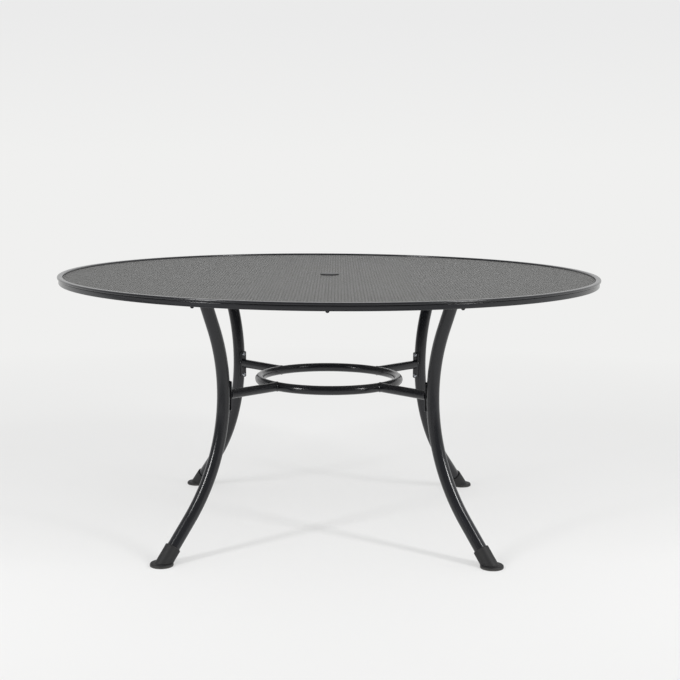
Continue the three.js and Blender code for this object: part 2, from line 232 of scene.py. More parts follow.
bpy.ops.object.select_all(action="DESELECT")
bpy.ops.mesh.primitive_circle_add(vertices=FLOOR_SIDES, radius=FLOOR_REACH, fill_type="NGON")
floor = bpy.context.object
floor.name = "floor"
paint, tree, output = new_material("matt_floor_paint")
rays, seen = ray_kinds(tree)
place = add(tree, "TexCoord").outputs["Object"]
away = add(tree, "VectorMath", {0: place}, operation="LENGTH")
share = add(tree, "MapRange", {
    "Value": away.outputs["Value"], "From Min": FILL_STARTS, "From Max": FILL_FULL,
    "To Min": FLOOR_FILL, "To Max": 1,
})
filled = add(tree, "Math", {0: seen, 1: share.outputs[0]}, operation="MULTIPLY")
lit = add(tree, "BsdfDiffuse", {"Color": linear(FLOOR_PAINT)})
plain = add(tree, "Emission", {"Color": linear(BACKDROP_LOW)})
sweep = add(tree, "MixShader", {0: filled.outputs[0], 1: lit.outputs[0], 2: plain.outputs[0]})
towards = add(tree, "VectorMath", {0: place, 1: ROOM_SIDE}, operation="DOT_PRODUCT")
room = rays["Is Glossy Ray"]
for start, end in ((DARK_STARTS, DARK_FULL), (DARK_OVER, DARK_ENDS)):
    zone = add(tree, "MapRange", {
        "Value": towards.outputs["Value"], "From Min": start, "From Max": end,
    })
    room = add(tree, "Math", {0: room, 1: zone.outputs[0]}, operation="MULTIPLY").outputs[0]
dark = add(tree, "Emission", {"Color": linear(ROOM_GREY)})
whole = add(tree, "MixShader", {0: room, 1: sweep.outputs[0], 2: dark.outputs[0]})
tree.links.new(whole.outputs[0], output.inputs["Surface"])
floor.data.materials.append(paint)
print("floor:", FLOOR_REACH, "m in radius")

# %% [markdown]
# Two tall, narrow soft boxes stand in front, one to each side. They draw the thin light lines down
# the legs and on the ring. Each is aimed at the middle of the table and has a grid, which keeps its
# light off the floor around it. The camera doesn't see the boxes.

# %% Soft boxes
LAMP_TARGET = Vector((0, 0, 0.4))
LAMP_GRID = math.radians(60)
LAMPS = {
    "left_box": {"place": (-3.0, -2.65, 2.45), "width": 0.55, "height": 2.2, "power": 12},
    "right_box": {"place": (3.2, -2.25, 2.75), "width": 0.55, "height": 2.2, "power": 13},
}

for name, lamp in LAMPS.items():
    look = (LAMP_TARGET - Vector(lamp["place"])).to_track_quat("-Z", "Y").to_euler()
    bpy.ops.object.light_add(type="AREA", location=lamp["place"], rotation=look)
    box = bpy.context.object
    box.name = name
    box.data.shape = "RECTANGLE"
    box.data.size, box.data.size_y = lamp["width"], lamp["height"]
    box.data.energy = lamp["power"]
    box.data.spread = LAMP_GRID
    box.visible_camera = False
    print(name, lamp["power"], "W")

# %% [markdown]
# The frame is steel with a baked polyester powder coat in charcoal. The powder flows out in the
# oven, but never quite flat: the surface keeps a faint waviness, a few millimetres from crest to
# crest, that is called orange peel. It breaks up the edge of each reflection. The plastic is a clear
# binder round the pigment, so its IOR is 1.5 and it isn't metallic.
#
# The same function makes the coat of the mesh. There the powder builds up unevenly round thousands
# of small openings, so its waves are deeper and its gloss is much flatter. It also flows away from
# the sheared edges until they are round. A Bevel node turns the light at those edges, as the
# rounding would. The mesh has the frame's charcoal coat, but its colour here is painted much paler:
# that is a painted sheen, which stands in for the glancing reflection off its strands.

# %% Powder coat
COAT_IOR = 1.5
PEEL_WAVE = 2.6 * MM
PEEL_DEPTH = 0.003 * MM
MESH_PEEL_DEPTH = 0.06 * MM
CLOUD_SIZE = 140 * MM
STRAND_ROUND = 0.55 * MM
BEVEL_RAYS = 4


def powder_coat(name, colour, pale, roughness, spread, peel_depth, edge=0):
    """Baked powder: even colour, slightly cloudy gloss, orange peel, and round edges if asked."""
    material, tree, output = new_material(name)
    place = add(tree, "TexCoord").outputs["Object"]
    clouds = add(tree, "TexNoise", {"Vector": place, "Scale": 1 / CLOUD_SIZE, "Detail": 4})
    tint = add(tree, "Mix", {
        "Factor": clouds.outputs["Fac"], "A": linear(colour), "B": linear(pale),
    }, data_type="RGBA")
    gloss = add(tree, "MapRange", {
        "Value": clouds.outputs["Fac"], "To Min": roughness - spread, "To Max": roughness + spread,
    })
    peel = add(tree, "TexNoise", {"Vector": place, "Scale": 1 / PEEL_WAVE, "Detail": 1})
    bump = add(tree, "Bump", {"Height": peel.outputs["Fac"], "Distance": peel_depth})
    if edge:
        rounded = add(tree, "Bevel", {"Radius": edge}, samples=BEVEL_RAYS)
        tree.links.new(rounded.outputs["Normal"], bump.inputs["Normal"])
    shader = add(tree, "BsdfPrincipled", {
        "Base Color": tint.outputs["Result"], "Roughness": gloss.outputs["Result"],
        "IOR": COAT_IOR, "Normal": bump.outputs["Normal"],
    })
    tree.links.new(shader.outputs[0], output.inputs["Surface"])
    return material


finishes = {
    "coated_steel": powder_coat(
        "powder_coated_steel", "#131417", "#191a1e",
        roughness=0.2, spread=0.03, peel_depth=PEEL_DEPTH),
    # Painted sheen: the mesh's two colours are far paler than the frame's, though its coat is the
    # same charcoal.
    "mesh_steel": powder_coat(
        "powder_coated_mesh_painted_sheen", "#474746", "#545452",
        roughness=0.38, spread=0.05, peel_depth=MESH_PEEL_DEPTH, edge=STRAND_ROUND),
}
print("coats:", [m.name for m in finishes.values()])

# %% [markdown]
# The boots are injection-moulded polyethylene, a soft, waxy plastic with a fine matt grain from the
# mould's etched wall. Where they rub the ground they go paler. The cap in the umbrella hole is
# polypropylene from a smoother mould, so it shines a little more.

# %% Moulded plastics
GRAIN = 0.7 * MM
GRAIN_DEPTH = 0.03 * MM
SCUFF_SIZE = 9 * MM
SCUFF_REACH = 7 * MM
PLASTIC_IOR = 1.49


def moulded(name, colour, pale, roughness, grain_depth):
    """Moulded plastic: fine etched grain, and pale scuffs close to the floor."""
    material, tree, output = new_material(name)
    place = add(tree, "TexCoord").outputs["Object"]
    height = add(tree, "SeparateXYZ", {0: place}).outputs["Z"]
    low = add(tree, "MapRange", {
        "Value": height, "From Max": SCUFF_REACH, "To Min": 1, "To Max": 0,
    })
    spots = add(tree, "TexNoise", {"Vector": place, "Scale": 1 / SCUFF_SIZE, "Detail": 5})
    worn = add(tree, "Math", {0: spots.outputs["Fac"], 1: low.outputs[0]}, operation="MULTIPLY")
    tint = add(tree, "Mix", {
        "Factor": worn.outputs[0], "A": linear(colour), "B": linear(pale),
    }, data_type="RGBA")
    grain = add(tree, "TexNoise", {"Vector": place, "Scale": 1 / GRAIN, "Detail": 2})
    bump = add(tree, "Bump", {"Height": grain.outputs["Fac"], "Distance": grain_depth})
    shader = add(tree, "BsdfPrincipled", {
        "Base Color": tint.outputs["Result"], "Roughness": roughness,
        "IOR": PLASTIC_IOR, "Normal": bump.outputs["Normal"],
    })
    tree.links.new(shader.outputs[0], output.inputs["Surface"])
    return material


finishes["boot_plastic"] = moulded(
    "moulded_polyethylene", "#161617", "#5f5d59", roughness=0.6, grain_depth=GRAIN_DEPTH)
finishes["cap_plastic"] = moulded(
    "moulded_polypropylene", "#28292b", "#4a4a4a", roughness=0.42, grain_depth=GRAIN_DEPTH / 2)
print("plastics:", finishes["boot_plastic"].name, "and", finishes["cap_plastic"].name)

# %% [markdown]
# The bolts are zinc-plated steel: a thin, bright, slightly bluish metal layer over turned steel. It
# is metallic, and its faint tool marks and dull patches come from a fine and a coarse noise.

# %% Zinc plating
TOOL_MARK = 0.35 * MM
TOOL_MARK_DEPTH = 0.01 * MM
DULL_PATCH = 3 * MM
ZINC_BRIGHT, ZINC_DULL = 0.22, 0.46

zinc, tree, output = new_material("zinc_plated_steel")
place = add(tree, "TexCoord").outputs["Object"]
marks = add(tree, "TexNoise", {"Vector": place, "Scale": 1 / TOOL_MARK, "Detail": 2})
patches = add(tree, "TexNoise", {"Vector": place, "Scale": 1 / DULL_PATCH, "Detail": 3})
tint = add(tree, "Mix", {
    "Factor": patches.outputs["Fac"], "A": linear("#c9ccd0"), "B": linear("#a9adb3"),
}, data_type="RGBA")
gloss = add(tree, "MapRange", {
    "Value": patches.outputs["Fac"], "To Min": ZINC_BRIGHT, "To Max": ZINC_DULL,
})
bump = add(tree, "Bump", {"Height": marks.outputs["Fac"], "Distance": TOOL_MARK_DEPTH})
shader = add(tree, "BsdfPrincipled", {
    "Base Color": tint.outputs["Result"], "Metallic": 1, "Roughness": gloss.outputs["Result"],
    "Normal": bump.outputs["Normal"],
})
tree.links.new(shader.outputs[0], output.inputs["Surface"])
finishes["zinc_steel"] = zinc
print("metal:", zinc.name)

# %% [markdown]
# An operator acts on whatever is selected, so each step starts by saying what that is. These small
# helpers select a piece, open it for editing and pick its corners, edges or faces by where they lie.

# %% Selecting by place
def rest():
    """Leaves edit mode with nothing selected."""
    if bpy.context.mode != "OBJECT":
        bpy.ops.object.mode_set(mode="OBJECT")
    bpy.ops.object.select_all(action="DESELECT")


def hold(piece):
    """Selects only this piece and makes it the active one."""
    rest()
    piece.select_set(True)
    bpy.context.view_layer.objects.active = piece


def middle(edge):
    """The middle of an edge."""
    return (edge.verts[0].co + edge.verts[1].co) / 2


def pick(kind, test):
    """Selects only the verts, edges or faces that pass the test, in edit mode."""
    bpy.ops.mesh.select_mode(type=kind[:-1].upper())
    bpy.ops.mesh.select_all(action="DESELECT")
    mesh = bmesh.from_edit_mesh(bpy.context.object.data)
    for part in getattr(mesh, kind):
        if test(part):
            part.select_set(True)
    mesh.select_flush_mode()
    bmesh.update_edit_mesh(bpy.context.object.data)


def edit(piece):
    """Opens a piece for editing with all of it selected."""
    hold(piece)
    bpy.ops.object.mode_set(mode="EDIT")
    bpy.ops.mesh.select_mode(type="VERT")
    bpy.ops.mesh.select_all(action="SELECT")


rest()
print("ready to model in", bpy.context.mode, "mode")

# %% [markdown]
# A finished piece needs the same few things each time: smooth shading that still breaks at real
# edges, a name, its material, the body that it rides on, and the solid of the frame that it stands
# for. The printed line says how heavy its mesh is.

# %% Finishing a piece
SMOOTH_BELOW = math.radians(32)


def finish(piece, name, slot, nodes, body="table"):
    """Shades, names and dresses a piece, and makes it ride on its body."""
    hold(piece)
    bpy.ops.object.shade_smooth_by_angle(angle=SMOOTH_BELOW)
    piece.name = piece.data.name = name
    piece.data.materials.clear()
    piece.data.materials.append(finishes[slot])
    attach(piece, body)
    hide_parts(*nodes)
    print(name, sum(len(p.vertices) - 2 for p in piece.data.polygons), "triangles")


def apply_place():
    """Puts the held piece's place, turn and scale into its mesh."""
    bpy.ops.object.transform_apply(location=True, rotation=True, scale=True)
    return bpy.context.object


def copy_of(piece, turn=0, move=(0, 0, 0)):
    """A copy with its own mesh, turned about the table's axis or moved."""
    hold(piece)
    bpy.ops.object.duplicate()
    bpy.context.object.rotation_euler.z = turn
    bpy.context.object.location = move
    return apply_place()


def drop(piece):
    """Takes away a pattern or a cutting tool that has done its work."""
    bpy.data.objects.remove(piece)


def to_corners(piece, kind, slot):
    """Copies a piece from +X to the four corners, then drops the pattern."""
    for corner, azimuth in CORNERS.items():
        node = f"{kind}_{corner}"
        finish(copy_of(piece, turn=azimuth), f"fine_{node}", slot, [node])
    drop(piece)


print("a crease stays sharp above", round(math.degrees(SMOOTH_BELOW)), "degrees")

# %% [markdown]
# Many pieces are turned, or rolled round the table's axis: the lip, the hoop, the ring of the hole,
# the cap and the bolts. By hand, such a piece is drawn as half a section: one vertex is pulled from
# corner to corner, the corners are rounded, and the outline is spun right round.

# %% Drawing and spinning a section
ARC_STEPS = 6


def near(point, radius, level):
    """True if a point lies at this radius and level in the drawing plane."""
    return abs(point.x - radius) < TINY and abs(point.z - level) < TINY


def draw_section(corners):
    """Draws a filled outline from (radius, level, rounding) corners, in the XZ plane."""
    rest()
    radius, level, _ = corners[0]
    bpy.ops.mesh.primitive_plane_add(size=MM, location=(radius, 0, level))
    section = apply_place()
    edit(section)
    bpy.ops.mesh.merge(type="CENTER")
    for (r0, z0, _), (r1, z1, _) in zip(corners, corners[1:]):
        step = (r1 - r0, 0, z1 - z0)
        bpy.ops.mesh.extrude_vertices_move(TRANSFORM_OT_translate={"value": step})
    bpy.ops.mesh.select_all(action="SELECT")
    bpy.ops.mesh.edge_face_add()
    for radius, level, rounding in corners:
        if rounding:
            pick("verts", lambda v: near(v.co, radius, level))
            bpy.ops.mesh.bevel(offset=rounding, segments=ARC_STEPS, affect="VERTICES")
    return section


def lathe(corners, steps):
    """Spins a section right round the Z axis and closes it into one skin."""
    piece = draw_section(corners)
    bpy.ops.mesh.select_all(action="SELECT")
    bpy.ops.mesh.delete(type="ONLY_FACE")
    pick("edges", lambda e: abs(middle(e).x) < TINY)
    bpy.ops.mesh.delete(type="EDGE")
    bpy.ops.mesh.select_all(action="SELECT")
    bpy.ops.mesh.spin(steps=steps, angle=2 * math.pi, center=(0, 0, 0), axis=(0, 0, 1))
    close_skin()
    return piece


def close_skin():
    """Merges doubles and points every face outwards, then leaves edit mode."""
    bpy.ops.mesh.select_all(action="SELECT")
    bpy.ops.mesh.remove_doubles(threshold=TINY)
    bpy.ops.mesh.normals_make_consistent(inside=False)
    rest()


print("a rounded corner has", ARC_STEPS, "steps")

# %% [markdown]
# The lip is the bead that closes the top's edge. It stands a few millimetres proud of the mesh, and
# its rounded upper side catches the light all the way round. Its section is drawn at the radius that
# the frame gives.

# %% Rim lip
RIM_STEPS = 240
LIP_WIDTH = 15 * MM
LIP_ROUND = 3.2 * MM
LIP_FOOT = 2.8 * MM

low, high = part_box("rim_lip")
lip_inner = high.x - LIP_WIDTH
lip = lathe([
    (lip_inner, low.z, 0),
    (high.x, low.z, LIP_FOOT),
    (high.x, high.z, LIP_ROUND),
    (lip_inner, high.z, LIP_ROUND),
], RIM_STEPS)
finish(lip, "fine_rim_lip", "coated_steel", ["rim_lip"])

# %% [markdown]
# Under the lip runs the hoop: an angle rolled to a circle. Its upright band is what shows from the
# side, set in a little from the lip, so that a thin shadow line lies between them. Its flat shelf
# carries the edge of the mesh. A rolled angle has a round inner corner and soft outer edges.

# %% Rim hoop
HOOP_WALL = 2 * MM
SHELF_WIDTH = 20 * MM
HOOP_INNER_ROUND = 1.6 * MM
HOOP_EDGE_ROUND = 1.8 * MM
HOOP_END_ROUND = 0.7 * MM

low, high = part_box("rim_hoop")
band_outer, band_inner = high.x, high.x - HOOP_WALL
shelf_inner = high.x - SHELF_WIDTH
hoop = lathe([
    (shelf_inner, high.z - HOOP_WALL, HOOP_END_ROUND),
    (band_inner, high.z - HOOP_WALL, HOOP_INNER_ROUND),
    (band_inner, low.z, HOOP_END_ROUND),
    (band_outer, low.z, HOOP_EDGE_ROUND),
    (band_outer, high.z, HOOP_EDGE_ROUND),
    (shelf_inner, high.z, HOOP_END_ROUND),
], RIM_STEPS)
finish(hoop, "fine_rim_hoop", "coated_steel", ["rim_hoop"])

# %% [markdown]
# The panel is expanded metal: a steel sheet is slit in rows and pulled, so each slit opens to a
# diamond, and the strands between them stay one piece of metal. It is made of real openings here,
# because the table is looked at from above, where light and the rods below show through.
#
# One diamond is drawn and inset, its middle is deleted, and a second one is set half a step over
# and up. Two arrays repeat the pair over a quarter of the top, Solidify gives it the sheet's
# thickness, and a boolean shears it to the circle. The real openings are about three quarters of
# this size, which is too fine to show from where the camera stands.

# %% Mesh panel: one quarter
LONG_WAY = 16 * MM
SHORT_WAY = 8 * MM
STRAND = 2.3 * MM
CUT_OVERRUN = 20 * MM
HOLE_PLAY = 0.5 * MM

mesh_low, mesh_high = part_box("mesh_panel")
bush_low, bush_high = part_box("hole_ring")


def repeat(piece, step, reach):
    """Repeats a piece with an array until it covers the reach, merged where copies meet."""
    array = piece.modifiers.new("repeat", "ARRAY")
    array.use_relative_offset = False
    array.use_constant_offset = True
    array.constant_offset_displace = step
    array.count = math.ceil(reach / max(step)) + 1
    array.use_merge_vertices = True
    array.merge_threshold = TINY
    hold(piece)
    bpy.ops.object.modifier_apply(modifier=array.name)


def thicken(piece, thickness):
    """Gives a sheet its thickness, inwards from its outer face."""
    wall = piece.modifiers.new("wall", "SOLIDIFY")
    wall.thickness = thickness
    wall.offset = -1
    hold(piece)
    bpy.ops.object.modifier_apply(modifier=wall.name)


def combine(piece, tool, operation):
    """Cuts, joins or keeps the overlap of two closed pieces, and drops the tool."""
    boolean = piece.modifiers.new("shape", "BOOLEAN")
    boolean.operation = operation
    boolean.object = tool
    boolean.solver = "MANIFOLD"
    hold(piece)
    bpy.ops.object.modifier_apply(modifier=boolean.name)
    drop(tool)


rest()
bpy.ops.mesh.primitive_circle_add(vertices=4, radius=0.5, fill_type="NGON")
quarter = bpy.context.object
edit(quarter)
bpy.ops.transform.resize(value=(LONG_WAY, SHORT_WAY, 1))
bpy.ops.transform.translate(value=(0, 0, mesh_high.z))
bpy.ops.mesh.inset(thickness=STRAND / 2, use_even_offset=True)
bpy.ops.mesh.delete(type="FACE")
bpy.ops.mesh.select_all(action="SELECT")
half_step = (LONG_WAY / 2, SHORT_WAY / 2, 0)
bpy.ops.mesh.duplicate_move(TRANSFORM_OT_translate={"value": half_step})
close_skin()
repeat(quarter, (LONG_WAY, 0, 0), mesh_high.x)
repeat(quarter, (0, SHORT_WAY, 0), mesh_high.y)
thicken(quarter, mesh_high.z - mesh_low.z)
print("one quarter before its cut:", len(quarter.data.polygons), "faces")

# %% [markdown]
# The shear line is a closed quarter of a disc with the hole left out of its middle. It is spun from
# a filled rectangle, a quarter turn only, so its two straight ends are filled too. A positive spin
# about +Z turns clockwise as seen from above, so the axis points down here.

# %% Mesh panel: cut to the circle and repeated
hole_radius = bush_high.x + HOLE_PLAY
below, above = mesh_low.z - CUT_OVERRUN, mesh_high.z + CUT_OVERRUN
disc = draw_section([
    (hole_radius, below, 0), (mesh_high.x, below, 0),
    (mesh_high.x, above, 0), (hole_radius, above, 0),
])
bpy.ops.mesh.select_all(action="SELECT")
bpy.ops.mesh.spin(steps=RIM_STEPS // 4, angle=QUARTER_TURN, center=(0, 0, 0), axis=(0, 0, -1))
close_skin()
combine(quarter, disc, "INTERSECT")

for number, (x, y) in enumerate([(1, 1), (-1, 1), (-1, -1), (1, -1)], start=1):
    hold(quarter)
    bpy.ops.object.duplicate()
    bpy.context.object.scale = (x, y, 1)
    sector = apply_place()
    if x * y < 0:
        edit(sector)
        bpy.ops.mesh.normals_make_consistent(inside=False)
        rest()
    finish(sector, f"fine_mesh_quarter_{number}", "mesh_steel", ["mesh_panel"])
drop(quarter)

# %% [markdown]
# The umbrella pole passes through the middle. A short collar of tube hangs under the mesh there, and
# a turned bush lines the hole and stands a little proud of the mesh, so that the sheared ends of the
# strands are out of reach.

# %% Hub collar and hole ring
HUB_STEPS = 72
COLLAR_WALL = 4 * MM
COLLAR_ROUND = 0.7 * MM
BUSH_WALL = 4.5 * MM
BUSH_ROUND = 0.9 * MM

low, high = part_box("hub_collar")
collar = lathe([
    (high.x - COLLAR_WALL, low.z, COLLAR_ROUND),
    (high.x, low.z, COLLAR_ROUND),
    (high.x, high.z, COLLAR_ROUND),
    (high.x - COLLAR_WALL, high.z, COLLAR_ROUND),
], HUB_STEPS)
finish(collar, "fine_hub_collar", "coated_steel", ["hub_collar"])

bore_radius = bush_high.x - BUSH_WALL
bush = lathe([
    (bore_radius, bush_low.z, BUSH_ROUND),
    (bush_high.x, bush_low.z, BUSH_ROUND),
    (bush_high.x, bush_high.z, BUSH_ROUND),
    (bore_radius, bush_high.z, BUSH_ROUND),
], HUB_STEPS)
finish(bush, "fine_hole_ring", "coated_steel", ["hole_ring"])

# %% [markdown]
# With no umbrella the hole is closed by a cap: a flat plastic button on a short skirt that is pushed
# in and lifts out. The skirt is slotted, so that it can spring, and the button is a little domed and
# well rounded at its edge. The slots are cut by two thin crossed blocks.

# %% Hole cap
CAP_THICKNESS = 2.6 * MM
CAP_ROUND = 1.1 * MM
CAP_CROWN = 0.4 * MM
CAP_FLAT_SHARE = 0.55
SKIRT_PLAY = 0.5 * MM
SKIRT_WALL = 2 * MM
SKIRT_ROUND = 0.6 * MM
SLOT_WIDTH = 3 * MM
SLOT_TOP = 3 * MM

low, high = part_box("hole_cap")
cap_under = high.z - CAP_THICKNESS
skirt_outer = bore_radius - SKIRT_PLAY
cap = lathe([
    (0, cap_under, 0),
    (skirt_outer - SKIRT_WALL, cap_under, SKIRT_ROUND),
    (skirt_outer - SKIRT_WALL, low.z, SKIRT_ROUND),
    (skirt_outer, low.z, SKIRT_ROUND),
    (skirt_outer, cap_under, 0),
    (high.x, cap_under, 0),
    (high.x, high.z - CAP_CROWN, CAP_ROUND),
    (high.x * CAP_FLAT_SHARE, high.z, 0),
    (0, high.z, 0),
], HUB_STEPS)
slot_height = cap_under - SLOT_TOP - low.z + CUT_OVERRUN
slot_middle = cap_under - SLOT_TOP - slot_height / 2
for length, width in ((2 * high.x, SLOT_WIDTH), (SLOT_WIDTH, 2 * high.x)):
    rest()
    bpy.ops.mesh.primitive_cube_add(
        size=1, location=(0, 0, slot_middle), scale=(length, width, slot_height))
    combine(cap, apply_place(), "DIFFERENCE")
finish(cap, "fine_hole_cap", "cap_plastic", ["hole_cap"], body="cap")

# %% [markdown]
# Rods under the mesh keep it flat. The lower ones run front to back, and their ends show as small
# dark knobs below the band. The upper ones lie across them. Each rod is welded at both ends, so a
# round bead of weld lies along its end's outline. By hand, a bead is that outline itself, copied
# away as a line and made round like a pipe, and then joined to the piece.

# %% Weld beads and support rods
BEAD_SIDES = 2
ROD_SIDES = 28
ROD_BEAD = 2 * MM
SIDEWAYS = (0, QUARTER_TURN, 0)
BACKWARDS = (QUARTER_TURN, 0, 0)


def bead_along(piece, test, width):
    """A weld bead along the edges of a piece that pass the test."""
    edit(piece)
    pick("edges", test)
    bpy.ops.mesh.duplicate()
    bpy.ops.mesh.separate(type="SELECTED")
    bpy.ops.object.mode_set(mode="OBJECT")
    bead = [o for o in bpy.context.selected_objects if o != piece][0]
    hold(bead)
    bpy.ops.object.convert(target="CURVE")
    bead.data.bevel_depth = width / 2
    bead.data.bevel_resolution = BEAD_SIDES
    bpy.ops.object.convert(target="MESH")
    edit(bead)
    close_skin()
    return bead


def rod(node):
    """A round rod where the frame's rod lies, with a weld bead on each end."""
    low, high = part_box(node)
    size = high - low
    along, turn = (X_AXIS, SIDEWAYS) if size.x > size.y else (Y_AXIS, BACKWARDS)
    rest()
    bpy.ops.mesh.primitive_cylinder_add(
        vertices=ROD_SIDES, radius=size.z / 2, depth=size[along],
        location=(low + high) / 2, rotation=turn)
    piece = apply_place()
    ends = (low[along], high[along])
    bead = bead_along(
        piece, lambda e: min(abs(middle(e)[along] - end) for end in ends) < TINY, ROD_BEAD)
    combine(piece, bead, "UNION")
    finish(piece, f"fine_{node}", "coated_steel", [node])


for layer, sides in {
    "lower": ("left", "right", "middle_front", "middle_back"),
    "upper": ("front", "back", "middle_right", "middle_left"),
}.items():
    for side in sides:
        rod(f"{layer}_rod_{side}")

# %% [markdown]
# Flat parts are cut from steel bar: the plates that carry the legs, the flanges on the legs and the
# brackets of the brace. A block of the right size gets its corners rounded first, then all the edges
# of its two faces softened, as the powder coat does, and then its bolt holes.

# %% Plates with holes
PLATE_EDGE = 0.6 * MM
PLATE_EDGE_STEPS = 2
DRILL_SIDES = 32


def plate(low, high, thin, corner):
    """A flat plate in a box, thin along one axis, with round corners and soft edges."""
    rest()
    bpy.ops.mesh.primitive_cube_add(size=1, location=(low + high) / 2, scale=high - low)
    piece = apply_place()
    edit(piece)
    pick("edges", lambda e: abs((e.verts[0].co - e.verts[1].co)[thin]) > TINY)
    bpy.ops.mesh.bevel(offset=corner, segments=ARC_STEPS)
    faces = (low[thin], high[thin])
    pick("edges", lambda e: all(
        min(abs(v.co[thin] - face) for face in faces) < TINY for v in e.verts))
    bpy.ops.mesh.bevel(offset=PLATE_EDGE, segments=PLATE_EDGE_STEPS)
    rest()
    return piece


def drill(piece, place, radius, turn=(0, 0, 0)):
    """Drills a round hole right through a piece."""
    rest()
    bpy.ops.mesh.primitive_cylinder_add(
        vertices=DRILL_SIDES, radius=radius, depth=CUT_OVERRUN, location=place, rotation=turn)
    combine(piece, apply_place(), "DIFFERENCE")


FLANGE_BOLT = 8 * MM
FLANGE_BOLT_SPACING = 70 * MM
BOLT_CLEARANCE = 0.4 * MM
PLATE_CORNER = 7 * MM
flange_bore = FLANGE_BOLT / 2 + BOLT_CLEARANCE
flange_holes = [side * FLANGE_BOLT_SPACING / 2 for side in (-1, 1)]

low, high = corner_box("leg_mount")
mount = plate(low, high, Z_AXIS, PLATE_CORNER)
flange_middle = (low + high) / 2
for y in flange_holes:
    drill(mount, (flange_middle.x, y, flange_middle.z), flange_bore)
to_corners(mount, "leg_mount", "coated_steel")

# %% [markdown]
# A leg is one length of round tube, bent in its own upright plane: it bows in to a waist, leans out
# to the top and splays to the foot. It is made as a bending machine makes it. A circle at the waist
# is spun about the bend's centre, once up and once down, and each end then runs on straight. The
# ends are sawn level. They are closed for a moment, so that Blender can tell which way is out, and
# opened again before the tube gets its wall. The bead of its top weld follows the sawn end, which is
# an ellipse because the tube leans.

# %% Leg tube
TUBE_SIDES = 40
TUBE_WALL = 2 * MM
WAIST_RADIUS = 396.5 * MM
WAIST_HEIGHT = 430 * MM
BEND_RADIUS = 500 * MM
TOP_LEAN = math.radians(21)
FOOT_SPLAY = math.radians(40.6)
BEND_STEP = math.radians(1.5)
TUBE_DIAMETER = 35 * MM
END_RUN = 150 * MM
FLANGE_PLATE = 5 * MM
SOCKET_GAP = 0.3 * MM
INSOLE = 9 * MM
LEG_BEAD = 5 * MM

flange_top = corner_box("leg")[1].z
flange_bottom = flange_top - FLANGE_PLATE
rest()
bpy.ops.mesh.primitive_circle_add(
    vertices=TUBE_SIDES, radius=TUBE_DIAMETER / 2, location=(WAIST_RADIUS, 0, WAIST_HEIGHT))
leg = apply_place()
for angle, up in ((TOP_LEAN, 1), (FOOT_SPLAY, -1)):
    edit(leg)
    pick("verts", lambda v: abs(v.co.z - WAIST_HEIGHT) < TINY)
    bpy.ops.mesh.spin(
        steps=round(angle / BEND_STEP), angle=angle, axis=(0, -up, 0),
        center=(WAIST_RADIUS + BEND_RADIUS, 0, WAIST_HEIGHT))
    straight = (END_RUN * math.sin(angle), 0, up * END_RUN * math.cos(angle))
    bpy.ops.mesh.extrude_region_move(TRANSFORM_OT_translate={"value": straight})
for level, up in ((flange_bottom, 1), (INSOLE + SOCKET_GAP, -1)):
    bpy.ops.mesh.select_all(action="SELECT")
    bpy.ops.mesh.bisect(
        plane_co=(0, 0, level), plane_no=(0, 0, up), clear_outer=True, use_fill=True)
close_skin()
edit(leg)
pick("faces", lambda f: len(f.verts) == TUBE_SIDES)
bpy.ops.mesh.delete(type="ONLY_FACE")
leg_bead = bead_along(leg, lambda e: e.is_boundary and middle(e).z > WAIST_HEIGHT, LEG_BEAD)
thicken(leg, TUBE_WALL)
combine(leg, leg_bead, "UNION")
print("leg tube:", [round(x / MM, 1) for x in leg.dimensions], "mm")

# %% [markdown]
# On top of the tube sits a flange with two bolt holes, with the tube welded to its underside all the
# way round.

# %% Leg flange
FLANGE_WIDTH = 52 * MM
FLANGE_LENGTH = 92 * MM
WELD_BITE = 0.4 * MM

half = Vector((FLANGE_WIDTH / 2, FLANGE_LENGTH / 2, 0))
seat = Vector((flange_middle.x, 0, flange_bottom - WELD_BITE))
crown = Vector((flange_middle.x, 0, flange_top))
flange = plate(seat - half, crown + half, Z_AXIS, PLATE_CORNER)
for y in flange_holes:
    drill(flange, (flange_middle.x, y, flange_top), flange_bore)
combine(leg, flange, "UNION")

# %% [markdown]
# Two holes in the leg's inner side take the bolts of the brace's bracket. They are drilled at the
# levels of the frame's bolts, before the leg is copied to the four corners.

# %% Bracket holes, and the four legs
BRACKET_BOLT = 6 * MM
bracket_bore = BRACKET_BOLT / 2 + BOLT_CLEARANCE

bolt_boxes = {end: corner_box(f"bracket_bolt_{end}") for end in ("low", "high")}
bolt_levels = {end: (a.z + b.z) / 2 for end, (a, b) in bolt_boxes.items()}
inner_side = WAIST_RADIUS - TUBE_DIAMETER / 2
for level in bolt_levels.values():
    drill(leg, (inner_side, 0, level), bracket_bore, SIDEWAYS)
to_corners(leg, "leg", "coated_steel")

# %% [markdown]
# Each foot wears a moulded boot: a sleeve that the tube is pushed into, on a round flat sole that
# spreads the load. In the mould the two run into each other with a soft fillet. To get that, the
# sleeve and the sole are joined, the skin is remade as an even grid by a voxel remesh, and a little
# smoothing melts the sharp inner corner. The bore is cut afterwards, so that it stays crisp.

# %% Boots
BOOT_SIDES = 64
BOOT_LENGTH = 55 * MM
BOOT_WALL = 3.6 * MM
BOOT_TOP_ROUND = 1.6 * MM
SOLE_HEIGHT = 9 * MM
SOLE_ROUND = 4 * MM
SOLE_CHAMFER = 1.5 * MM
SOLE_DIAMETER = 62 * MM
VOXEL = 0.9 * MM
MELT_FACTOR = 0.5
MELT_TURNS = 7

bend_run = WAIST_HEIGHT - BEND_RADIUS * math.sin(FOOT_SPLAY)
foot_radius = (WAIST_RADIUS + BEND_RADIUS * (1 - math.cos(FOOT_SPLAY))
               + bend_run * math.tan(FOOT_SPLAY))
sole_middle = corner_box("boot")[1].x - SOLE_DIAMETER / 2
bore = TUBE_DIAMETER / 2 + SOCKET_GAP
sleeve_radius = bore + BOOT_WALL


